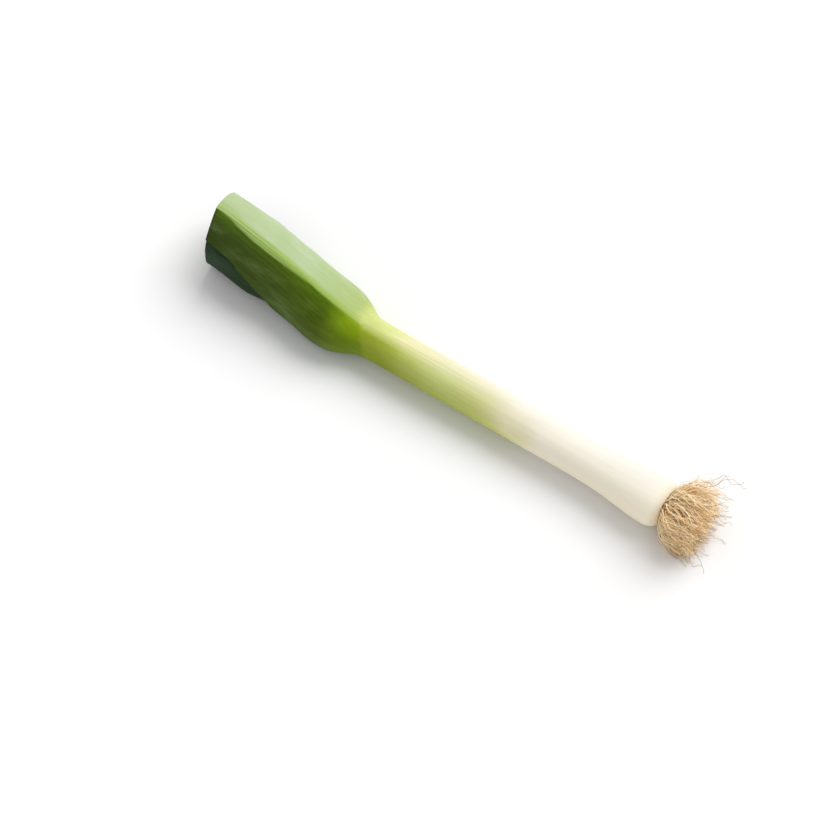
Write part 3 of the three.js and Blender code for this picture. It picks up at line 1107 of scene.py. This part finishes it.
@dataclass
class Stalk:
    """The white shaft of rolled sheaths, with its bulb and the heart inside the leaf fan."""

    form: PlantForm
    sides: int = 180
    lip_rings: int = 6
    outer_rings: int = 290
    heart_rings: int = 60
    lip_depth: float = 3.2
    lip_reach: float = 0.9
    lip_roundness: float = 0.8
    rim_wave: float = 0.45
    rim_waves: Sequence[Triple] = ((1, 3, 0.7), (0.6, 7, 2.0))
    rim_fade: float = 2.5
    sink: float = 0.12
    sink_length: float = 3
    crowded_share: float = 0.08
    crowding: float = 1.6
    heart_start: float = 1
    tip_depth: float = 3
    tip_length: float = 10
    join_margin: float = 0.1
    skin_finish: OuterSkin = OuterSkin("sheath skin")
    heart_finish: BladeFinish = BladeFinish(
        name="heart",
        dark=(0.46, 0.53, 0.16),
        light=(0.62, 0.66, 0.30),
        bloom=(0.66, 0.70, 0.40),
        keel=(0.66, 0.70, 0.36),
        young=(0.66, 0.70, 0.36),
    )

    @property
    def skin_end(self) -> float:
        """Where the outer skin stops, just inside the outermost blade."""
        return self.form.collar + self.sink_length / 2

    def lay_out(self, angle: np.ndarray, row: np.ndarray) -> tuple[np.ndarray, np.ndarray, np.ndarray]:
        """Spreads the sheet's rows over the lip at the base end, the outer skin and the heart.

        Args:
            angle: Each vertex's angle round the shaft.
            row: The number of its row.

        Returns:
            For each vertex its u, its depth inside the outline, and how far it lies in the lip, from 0 to 1.
        """
        form = self.form
        lip = np.clip(1 - row / self.lip_rings, 0, 1)
        outer = np.clip((row - self.lip_rings) / self.outer_rings, 0, 1)
        inner = np.clip((row - self.lip_rings - self.outer_rings) / self.heart_rings, 0, 1)
        in_heart = inner > 0
        crowded = (outer / self.crowded_share) ** self.crowding * self.crowded_share
        outer_u = self.skin_end * np.where(outer < self.crowded_share, crowded, outer)
        heart_base = form.collar + self.heart_start
        heart_u = heart_base + (form.heart_tip - heart_base) * inner
        waves = sum(height * np.sin(turns * angle + phase) for height, turns, phase in self.rim_waves)
        rim = self.rim_wave * np.abs(waves) / sum(height for height, _, _ in self.rim_waves)
        u = np.where(in_heart, heart_u, outer_u + rim * np.exp(-outer_u / self.rim_fade))
        closing = self.tip_depth * ease(heart_u, form.heart_tip - self.tip_length, form.heart_tip)
        sinking = self.sink * ease(outer_u, self.skin_end - self.sink_length, self.skin_end)
        rounding = self.lip_depth * lip**self.lip_roundness
        return u, np.where(in_heart, form.heart_depth(heart_u) + closing, sinking + rounding), lip

    def close(self, piece: bpy.types.Object) -> None:
        """Joins the rolled sheet's long sides and caps its two ends.

        Args:
            piece: The sheet.
        """
        with editing(piece):
            bpy.ops.mesh.remove_doubles(threshold=WELD_DISTANCE)
            bpy.ops.mesh.select_all(action="DESELECT")
            bpy.ops.mesh.select_mode(type="EDGE")
            bpy.ops.mesh.select_non_manifold(extend=False)
            bpy.ops.mesh.edge_face_add()
            bpy.ops.mesh.select_all(action="SELECT")
            bpy.ops.mesh.normals_make_consistent(inside=False)

    def build(self) -> bpy.types.Object:
        """Rolls a sheet into the shaft, closes its ends and shades it.

        Returns:
            The piece.
        """
        form = self.form
        rings = self.lip_rings + self.outer_rings + self.heart_rings
        piece, place = rolled_sheet("stalk", self.sides, rings)
        angle = (place[:, 0] * 2 - 1) * math.pi
        u, depth, lip = self.lay_out(angle, np.rint(place[:, 1] * rings))
        points = form.points(u, depth, angle)
        points[:, 0] -= self.lip_reach * MM * lip**2
        set_points(piece, points)
        set_grain(piece, np.stack([angle * form.shaft_radius * MM, u * MM], axis=1))
        self.close(piece)
        piece.data.materials.append(self.skin_finish.build(form))
        piece.data.materials.append(self.heart_finish.build())
        join = form.base_x - (self.skin_end + self.join_margin) * MM
        inside = vectors(piece.data.polygons, "center")[:, 0] < join
        piece.data.polygons.foreach_set("material_index", inside.astype(np.int32))
        finish_piece(piece, "shaft")
        return piece


class Rank(Enum):
    """The two opposite rows in which the leaves grow."""

    KEEL_UP = 0
    KEEL_DOWN = 1


@dataclass
class Blade:
    """One leaf blade of the fan, folded along its keel.

    The spans are how far it reaches round the fan to each side of its keel, in degrees.
    """

    form: PlantForm
    order: int
    cut_span: float
    finish: bpy.types.Material
    cut_finish: bpy.types.Material
    slot: str
    across_cells: int = 96
    along_cells: int = 150
    place_digits: int = 6
    base_span: float = 174
    outer_span: Stations = (
        (262, 178), (270, 166), (280, 150), (300, 134), (330, 118), (346, 96), (370, 67), (388, 53), (407, 54)
    )
    outer_span_extra: float = 12
    margin_ripple: float = 2.2
    ripple_length: float = 46
    keel_thickness: float = 1.25
    margin_thickness: float = 0.7
    keel_sharpness: float = 4
    crowding: float = 1.15
    seam: float = 1.8
    seam_depth: float = 0.14
    seam_reach: float = 3.96
    margin_lift: float = 0.6
    lift_from: Span = (25, 50)
    lift_share: Span = (0.9, 1)

    @property
    def rank(self) -> Rank:
        """The row that the leaf stands in."""
        return Rank(self.order % 2)

    @property
    def base(self) -> float:
        """Where the blade leaves its sheath."""
        return self.form.collar + self.order * self.form.leaf_step

    def half_span(self, side: np.ndarray, u: np.ndarray) -> np.ndarray:
        """Half of the blade's width, as an angle in radians from its keel.

        Args:
            side: -1 or 1, the half that is meant.
            u: Places along the plant.

        Returns:
            The angles.
        """
        progress = np.clip((u - self.base) / (self.form.cut - self.base), 0, 1)
        phase = 2 * math.pi * u / self.ripple_length + self.order * 2 + side
        ripple = self.margin_ripple * np.sin(phase) * progress
        if self.order == 0:
            extra = np.where(side > 0, self.outer_span_extra * progress, 0)
            return np.radians(along(self.outer_span, u) + extra + ripple)
        return np.radians(self.cut_span + (self.base_span - self.cut_span) * (1 - progress) ** 2 + ripple)

    def keel_distance(self, points: np.ndarray, place: np.ndarray) -> np.ndarray:
        """Distance of every vertex from the keel, measured on the surface; negative on one half.

        Args:
            points: The vertices.
            place: Their places across and along the sheet.

        Returns:
            The distances, in metres.
        """
        order = np.lexsort(np.round(place, self.place_digits).T)
        rows = points[order].reshape(self.along_cells + 1, self.across_cells + 1, 3)
        steps = np.linalg.norm(np.diff(rows, axis=1), axis=2)
        run = np.concatenate([np.zeros((len(rows), 1)), np.cumsum(steps, axis=1)], axis=1)
        run -= run[:, self.across_cells // 2][:, None]
        distance = np.empty(len(points))
        distance[order] = run.ravel()
        return distance

    def fold(self, across: np.ndarray, share: np.ndarray) -> tuple[np.ndarray, np.ndarray, np.ndarray]:
        """Lays the sheet round the fan, folded along the keel.

        Args:
            across: Each vertex's place across the blade, from -1 to 1.
            share: Its place along the blade, from 0 to 1.

        Returns:
            For each vertex its u, its depth inside the outline and its angle round the fan.
        """
        form = self.form
        outermost = self.order == 0
        start = self.base - (self.seam if outermost else 0)
        u = start + (form.cut - start) * share
        angle = across * self.half_span(np.sign(across), u)
        if self.rank is Rank.KEEL_DOWN:
            angle = np.where(angle < 0, -1, 1) * (math.pi - np.abs(angle))
        depth = self.order * form.pitch(u)
        if outermost:
            depth = depth + self.seam_depth * (1 - ease(u - start, 0, self.seam_reach))
            lifted = ease(u - form.collar, *self.lift_from) * ease(np.abs(across), *self.lift_share)
            depth = depth - self.margin_lift * lifted
        return u, depth, angle

    def thicken(self, piece: bpy.types.Object, across: np.ndarray) -> None:
        """Gives the sheet its wall, thickest at the keel, with the cut finish on its rim.

        Args:
            piece: The sheet.
            across: Each vertex's place across the blade, from -1 to 1.
        """
        keel = piece.vertex_groups.new(name="keel")
        for index, weight in enumerate(((1 - np.abs(across)) ** self.keel_sharpness).tolist()):
            keel.add([index], weight, "REPLACE")
        wall = piece.modifiers.new("thickness", "SOLIDIFY")
        wall.thickness = self.keel_thickness * MM
        wall.offset = -1
        wall.vertex_group = keel.name
        wall.thickness_vertex_group = self.margin_thickness / self.keel_thickness
        wall.use_rim = True
        wall.material_offset_rim = 1
        for material in (self.finish, self.cut_finish):
            piece.data.materials.append(material)
        take(piece)
        bpy.ops.object.modifier_apply(modifier=wall.name)

    def build(self) -> bpy.types.Object:
        """Bends a sheet to the blade's form, thickens it and shades it.

        Returns:
            The piece.
        """
        form = self.form
        piece, place = rolled_sheet(f"blade_{self.order + 1}", self.across_cells, self.along_cells)
        across = place[:, 0] * 2 - 1
        across = np.sign(across) * np.abs(across) ** self.crowding
        u, depth, angle = self.fold(across, place[:, 1])
        points = form.points(u, depth, angle)
        set_points(piece, points)
        set_grain(piece, np.stack([self.keel_distance(points, place), u * MM], axis=1))
        sides = [form.points(u, np.zeros_like(u), np.full_like(u, side * math.pi / 2)) for side in (-1, 1)]
        face_away_from(piece, sum(sides) / 2)
        self.thicken(piece, across)
        finish_piece(piece, f"leaf_0{self.order + 1}")
        return piece


@dataclass
class LeafFan:
    """All blades, nested in two opposite ranks and cut across together."""

    form: PlantForm
    cut_spans: Sequence[float] = (60, 135, 104, 112, 106, 114, 112, 130)
    outer_count: int = 2
    inner_cells: tuple[int, int] = (72, 80)
    outermost_finish: OuterSkin = OuterSkin("outer blade")
    second_finish: BladeFinish = BladeFinish(
        # Its colours are painted far darker than a blade's own green: painted shade.
        name="second blade",
        dark=(0.012, 0.028, 0.009),
        light=(0.024, 0.048, 0.018),
        bloom=(0.038, 0.068, 0.042),
        keel=(0.20, 0.30, 0.11),
        young=(0.12, 0.19, 0.02),
        bloom_share=0.6,
        gloss=0.03,
        base=0.27,
    )
    oldest_inner: BladeFinish = BladeFinish(
        name="oldest inner blade",
        dark=(0.065, 0.13, 0.025),
        light=(0.13, 0.23, 0.06),
        bloom=(0.20, 0.30, 0.14),
        keel=(0.32, 0.43, 0.16),
        young=(0.58, 0.62, 0.25),
        bloom_share=0.4,
    )
    youngest_inner: BladeFinish = BladeFinish(
        name="youngest inner blade",
        dark=(0.24, 0.34, 0.06),
        light=(0.44, 0.54, 0.17),
        bloom=(0.52, 0.60, 0.28),
        keel=(0.60, 0.66, 0.34),
        young=(0.58, 0.62, 0.25),
        bloom_share=0.4,
    )
    cut_finish: CutFinish = CutFinish()

    def inner_finish(self, order: int) -> BladeFinish:
        """The finish of an inner blade, lighter and yellower the further in it stands.

        Args:
            order: Its place in the fan, counted from the outside.

        Returns:
            The finish.
        """
        share = (order - self.outer_count) / (len(self.cut_spans) - self.outer_count - 1)
        mixed = {}
        for tone in ("dark", "light", "bloom", "keel"):
            old, new = getattr(self.oldest_inner, tone), getattr(self.youngest_inner, tone)
            mixed[tone] = tuple(a + (b - a) * share for a, b in zip(old, new))
        base = (self.form.collar + order * self.form.leaf_step) * MM
        return replace(self.oldest_inner, name=f"inner blade {order + 1}", base=base, **mixed)

    def build(self) -> list[bpy.types.Object]:
        """Makes every blade, from the outside inwards.

        Returns:
            The pieces.
        """
        outer_finishes = [self.outermost_finish.build(self.form), self.second_finish.build()]
        cut = self.cut_finish.build()
        pieces = []
        for order, span in enumerate(self.cut_spans):
            if order < self.outer_count:
                blade = Blade(self.form, order, span, outer_finishes[order], cut, "outer_leaves")
            else:
                blade = Blade(self.form, order, span, self.inner_finish(order).build(), cut, "inner_leaves")
                blade.across_cells, blade.along_cells = self.inner_cells
            pieces.append(blade.build())
        return pieces


@dataclass(frozen=True)
class Strands:
    """One kind of root.

    Attributes:
        name: The piece's name.
        count: How many roots there are.
        sides: How many sides each one has.
        radii: Its radius at the foot and at the tip.
        reach: The least and the greatest length.
        lean: How far the middle and the outermost roots lean outwards, in degrees.
        spread: How much their lean varies, in degrees.
        gather: The share of its lean that a root loses towards its tip.
        wander: How strongly it curls off its way.
        wiggle: The height of its waves.
        wave: Their length.
        seed: The seed of the random numbers.
        finish: The finish.
        node: The CAD node that it stands for, if it does.
    """

    name: str
    count: int
    sides: int
    radii: Span
    reach: Span
    lean: Span
    spread: float
    gather: float
    wander: float
    wiggle: float
    wave: float
    seed: int
    finish: RootFinish
    node: str | None = None


@dataclass
class RootTuft:
    """Dry roots growing from the root plate, combed outwards and curling at their ends.

    No root runs along wave_axis or ring_axis, from which the sideways directions of its waves and its rings
    are found. No root goes past furthest, or on the near side past nearest_side, and each is held back from
    there to a share drawn from room. The plate is coloured as a root of the tone and at the place given by
    plate_grain.
    """

    form: PlantForm
    plate_radius: float = 13.6
    plate_depth: float = 6
    plate_lift: float = 0.3
    plate_sides: int = 64
    plate_roughness: float = 0.08
    # A place at a root's foot, so the plate takes the painted foot shade too.
    plate_grain: Span = (0.1, 0.02)
    plate_finish: RootFinish = RootFinish(name="root plate")
    smooth_angle: float = 80
    steps: int = 26
    foot_lift: float = 0.1
    foot_spread: float = 0.98
    straight_foot: float = 9
    droop: float = 0.1
    curl: Span = (3.5, 7.5)
    wave_axis: Triple = (0.3, 0.5, 0.8)
    wave_spread: Span = (0.7, 1.6)
    wave_heights: Span = (0.4, 1.2)
    wave_bias: float = 1.5
    fine_wave: float = 0.3
    fine_turns: float = 2.7
    ring_axis: Triple = (0.0, 0.31, 0.95)
    thickness_spread: Span = (0.7, 1.2)
    taper: float = 0.7
    tone_bias: float = 0.7
    clearance: float = 0.6
    furthest: Triple = (50, 39.5, 39.5)
    nearest_side: float = -27
    room: Span = (0.72, 1)
    kinds: Sequence[Strands] = (
        Strands(
            name="root_tuft", count=600, sides=5, radii=(0.52, 0.27), reach=(23, 40), lean=(4, 64),
            spread=40, gather=0.98, wander=0.36, wiggle=0.9, wave=15, seed=20, finish=RootFinish(),
            node="roots",
        ),
        Strands(
            name="root_hairs", count=260, sides=3, radii=(0.17, 0.10), reach=(26, 44), lean=(10, 70),
            spread=40, gather=0.7, wander=0.3, wiggle=1.5, wave=15, seed=21,
            finish=RootFinish(
                name="root hair", foot=(0.35, 0.22, 0.10), dull=(0.50, 0.36, 0.20), bright=(0.80, 0.62, 0.40)
            ),
        ),
        Strands(
            name="stray_hairs", count=60, sides=4, radii=(0.21, 0.13), reach=(38, 60), lean=(8, 60),
            spread=30, gather=0.3, wander=0.35, wiggle=2.2, wave=22, seed=24,
            finish=RootFinish(
                name="stray hair", foot=(0.20, 0.13, 0.07), dull=(0.16, 0.12, 0.08), bright=(0.42, 0.30, 0.18)
            ),
        ),
    )

    def strand(self, sides: int) -> tuple[np.ndarray, np.ndarray]:
        """Models one straight strand by extruding a small ring step by step.

        Args:
            sides: How many sides it has.

        Returns:
            Its vertices, one unit long and one unit in radius, and its faces' corner numbers.
        """
        deselect()
        bpy.ops.mesh.primitive_circle_add(vertices=sides, radius=1, fill_type="NGON")
        master = bpy.context.active_object
        with editing(master):
            for _ in range(self.steps):
                bpy.ops.mesh.extrude_region_move(TRANSFORM_OT_translate={"value": (0, 0, 1 / self.steps)})
            bpy.ops.mesh.select_all(action="SELECT")
            bpy.ops.mesh.normals_make_consistent(inside=False)
            bpy.ops.mesh.quads_convert_to_tris()
        points = vectors(master.data.vertices, "co")
        faces = np.array([tuple(face.vertices) for face in master.data.polygons])
        bpy.data.objects.remove(master, do_unlink=True)
        return points, faces

    def course(self, index: int, kind: Strands, chance: random.Random) -> tuple[np.ndarray, np.ndarray]:
        """The way one root takes, out of the plate and curling and gathering along the tuft.

        Args:
            index: Its number.
            kind: The kind of root.
            chance: The source of random numbers.

        Returns:
            Points along the root, and the length run at each.
        """
        share = (index + 0.5) / kind.count
        outward = np.array([0, math.cos(index * GOLDEN_ANGLE), math.sin(index * GOLDEN_ANGLE)])
        spread = kind.spread * (chance.random() - 0.5)
        lean = math.radians(kind.lean[0] + (kind.lean[1] - kind.lean[0]) * share + spread)
        length = chance.uniform(*kind.reach)
        curl_start = 2 * math.pi * chance.random()
        curl_turn = chance.choice((-1, 1)) * chance.uniform(*self.curl)
        progress = (np.arange(self.steps) + 0.5) / self.steps
        lean_here = lean * (1 - kind.gather * progress)
        curl = curl_start + curl_turn * progress
        heading = np.outer(np.cos(lean_here), (1, 0, 0)) + np.outer(np.sin(lean_here), outward)
        heading[:, 1] += kind.wander * np.cos(curl)
        heading[:, 2] += kind.wander * np.sin(curl) - self.droop * progress
        heading = unit(heading)
        foot = np.array([self.foot_lift, self.form.bulb_sway, 0])
        foot += outward * self.plate_radius * self.foot_spread * math.sqrt(share)
        points = foot + np.concatenate([np.zeros((1, 3)), np.cumsum(heading, axis=0) * length / self.steps])
        return points, np.linspace(0, length, self.steps + 1)

    def path(self, index: int, kind: Strands, chance: random.Random) -> np.ndarray:
        """Where one root runs, with its small waves, kept above the surface and within its room.

        Args:
            index: Its number.
            kind: The kind of root.
            chance: The source of random numbers.

        Returns:
            Points along the root, in millimetres from the middle of the base end.
        """
        points, run = self.course(index, kind, chance)
        heading = unit(points[1] - points[0])
        side = unit(np.cross(heading, self.wave_axis))
        least, more = self.wave_heights
        growth = kind.wiggle * (least + more * chance.random() ** self.wave_bias)
        growth = growth * np.clip(run / self.straight_foot, 0, 1)
        for direction in (side, np.cross(heading, side)):
            turns = run / (kind.wave * chance.uniform(*self.wave_spread))
            phase = chance.random()
            wave = np.sin(2 * math.pi * (turns + phase))
            wave += self.fine_wave * np.sin(2 * math.pi * (turns * self.fine_turns - phase))
            points += np.outer(wave * growth, direction)
        room = chance.uniform(*self.room)
        points /= np.maximum(1, points.max(axis=0) / np.array(self.furthest) / room)
        points[:, 1] /= max(1, points[:, 1].min() / self.nearest_side / room)
        return np.maximum(points, (self.foot_lift, -math.inf, self.clearance - self.form.axis_height))

    def sweep(self, model: np.ndarray, path: np.ndarray, kind: Strands, thick: float) -> np.ndarray:
        """Bends the straight strand along a root's path.

        Args:
            model: The strand's vertices.
            path: The root's path.
            kind: The kind of root.
            thick: How thick it is beside others of its kind.

        Returns:
            The bent strand's vertices.
        """
        level = np.rint(model[:, 2] * self.steps).astype(int)
        heading = unit(np.gradient(path, axis=0))
        side = unit(np.cross(heading, self.ring_axis))
        other = np.cross(heading, side)
        foot, tip = kind.radii
        radius = thick * (foot + (tip - foot) * (level / self.steps) ** self.taper)
        ring = model[:, :1] * side[level] + model[:, 1:2] * other[level]
        return path[level] + ring * radius[:, None]

    def grow(self, kind: Strands) -> bpy.types.Object:
        """Makes all roots of a kind, as copies of one strand, and gathers them in one piece.

        Args:
            kind: The kind of root.

        Returns:
            The piece.
        """
        chance = random.Random(kind.seed)
        model, model_faces = self.strand(kind.sides)
        reach = np.rint(model[:, 2] * self.steps) / self.steps
        points, faces, grain = [], [], []
        for index in range(kind.count):
            path = self.path(index, kind, chance)
            points.append(self.sweep(model, path, kind, chance.uniform(*self.thickness_spread)))
            faces.append(model_faces + index * len(model))
            tone = np.full(len(model), chance.random() ** self.tone_bias)
            grain.append(np.stack([tone, reach], axis=1))
        origin = np.array([self.form.base_x, self.form.axis_y, self.form.axis_height * MM])
        mesh = bpy.data.meshes.new(kind.name)
        placed = np.concatenate(points) * MM + origin
        mesh.from_pydata(placed.tolist(), [], np.concatenate(faces).tolist())
        piece = new_object(kind.name, mesh)
        set_grain(piece, np.concatenate(grain))
        with editing(piece):
            bpy.ops.mesh.normals_make_consistent(inside=False)
        return piece

    def plate(self) -> bpy.types.Object:
        """The squat dome that the roots grow from.

        Returns:
            The piece.
        """
        deselect()
        form = self.form
        middle = (
            form.base_x + self.plate_lift * MM,
            form.axis_y + form.bulb_sway * MM,
            form.axis_height * MM,
        )
        bpy.ops.mesh.primitive_uv_sphere_add(
            segments=self.plate_sides,
            ring_count=self.plate_sides // 2,
            radius=self.plate_radius * MM,
            location=middle,
            rotation=(0, math.pi / 2, 0),
        )
        piece = bpy.context.active_object
        piece.name = piece.data.name = "root_plate"
        bpy.ops.object.transform_apply(location=True, rotation=True, scale=True)
        with editing(piece):
            bpy.ops.mesh.bisect(plane_co=middle, plane_no=(1, 0, 0), clear_inner=True, use_fill=True)
        squash = self.plate_depth / self.plate_radius
        chance = random.Random(self.kinds[0].seed)
        for vertex in piece.data.vertices:
            out = vertex.co.x - middle[0]
            vertex.co.x = middle[0] + out * squash * (1 + self.plate_roughness * chance.random())
        set_grain(piece, np.tile(self.plate_grain, (len(piece.data.vertices), 1)))
        return piece

    def build(self) -> list[bpy.types.Object]:
        """Makes the plate and every kind of root.

        Returns:
            The pieces.
        """
        pieces = [self.plate(), *(self.grow(kind) for kind in self.kinds)]
        finishes = [self.plate_finish, *(kind.finish for kind in self.kinds)]
        nodes = [None, *(kind.node for kind in self.kinds)]
        for piece, finish, node in zip(pieces, finishes, nodes):
            piece.data.materials.append(finish.build())
            finish_piece(piece, node, self.smooth_angle)
        return pieces


@dataclass
class Studio:
    """Camera, floor and soft light.

    From the leek, back points to the camera and key_side to the key light. A pixel of the square frame is as
    large as scale there, and the shaft's axis at anchor_u lies on anchor_pixel. The surroundings' glow goes
    from the strength horizon to the strength ceiling over glow_rise, in shares of the sky's height.
    """

    form: PlantForm
    lens: float = 200
    sensor: float = 36
    frame_pixels: float = 833
    scale: float = 0.74
    anchor_u: float = 100.9
    anchor_pixel: Span = (552.2, 440.5)
    back: Vector = field(default_factory=lambda: Vector((0.276, -0.417, 0.866)).normalized())
    key_side: Vector = field(default_factory=lambda: Vector((0.2, 0.62, 0.82)).normalized())
    key_strength: float = 2.3
    key_breadth: float = 50
    horizon: float = 1.05
    ceiling: float = 0.6
    glow_rise: Span = (0.15, 0.45)
    floor_size: float = 8000
    furthest_view: float = 100_000
    floor_finish: FloorFinish = FloorFinish()

    def camera(self) -> bpy.types.Object:
        """Places the camera so that the leek lies in the frame as it should.

        Returns:
            The camera.
        """
        form = self.form
        right = Vector((0, 0, 1)).cross(self.back).normalized()
        up = self.back.cross(right)
        anchor = Vector((form.base_x - self.anchor_u * MM, form.axis_y, form.axis_height * MM))
        middle = self.frame_pixels / 2
        pixel = self.scale * MM
        across = (self.anchor_pixel[0] - middle) * pixel
        down = (self.anchor_pixel[1] - middle) * pixel
        target = anchor - right * across + up * down
        distance = self.lens / self.sensor * self.frame_pixels * pixel
        data = bpy.data.cameras.new("camera")
        data.lens = self.lens
        data.sensor_width = self.sensor
        data.clip_end = self.furthest_view * MM
        camera = new_object("camera", data)
        turn = Matrix((right, up, self.back)).transposed().to_4x4()
        camera.matrix_world = Matrix.Translation(target + self.back * distance) @ turn
        bpy.context.scene.camera = camera
        return camera

    def sun(self) -> bpy.types.Object:
        """Hangs the broad soft key light.

        Returns:
            The light.
        """
        data = bpy.data.lights.new("key", "SUN")
        data.energy = self.key_strength
        data.angle = math.radians(self.key_breadth)
        lamp = new_object("key", data)
        lamp.rotation_mode = "QUATERNION"
        lamp.rotation_quaternion = (-self.key_side).to_track_quat("-Z", "Y")
        return lamp

    def surroundings(self) -> bpy.types.World:
        """Surrounds the scene with a pale cyclorama, brightest at the horizon.

        Returns:
            The world.
        """
        world = bpy.data.worlds.new("studio")
        world.use_nodes = True
        nodes, links = world.node_tree.nodes, world.node_tree.links
        split = nodes.new("ShaderNodeSeparateXYZ")
        links.new(nodes.new("ShaderNodeTexCoord").outputs["Generated"], split.inputs["Vector"])
        glow = nodes.new("ShaderNodeMapRange")
        glow.interpolation_type = "SMOOTHSTEP"
        links.new(split.outputs["Z"], glow.inputs["Value"])
        limits = (*self.glow_rise, self.horizon, self.ceiling)
        for socket, value in zip(("From Min", "From Max", "To Min", "To Max"), limits):
            glow.inputs[socket].default_value = value
        links.new(glow.outputs["Result"], nodes["Background"].inputs["Strength"])
        nodes["Background"].inputs["Color"].default_value = (1.0, 1.0, 1.0, 1.0)
        bpy.context.scene.world = world
        return world

    def floor(self) -> bpy.types.Object:
        """Lays the floor.

        Returns:
            The floor.
        """
        deselect()
        bpy.ops.mesh.primitive_plane_add(size=self.floor_size * MM)
        floor = bpy.context.active_object
        floor.name = "studio_floor"
        floor.data.materials.append(self.floor_finish.build())
        return floor

    def build(self) -> None:
        """Sets up the whole studio."""
        self.camera()
        self.floor()
        self.sun()
        self.surroundings()
        bpy.context.scene.view_settings.view_transform = "Standard"


def main() -> None:
    """Builds the studio and the leek, in order."""
    logging.basicConfig(level=logging.INFO, format="%(name)s: %(message)s")
    form = PlantForm()
    Studio(form).build()
    Stalk(form).build()
    LeafFan(form).build()
    RootTuft(form).build()


if __name__ == "__main__":
    main()
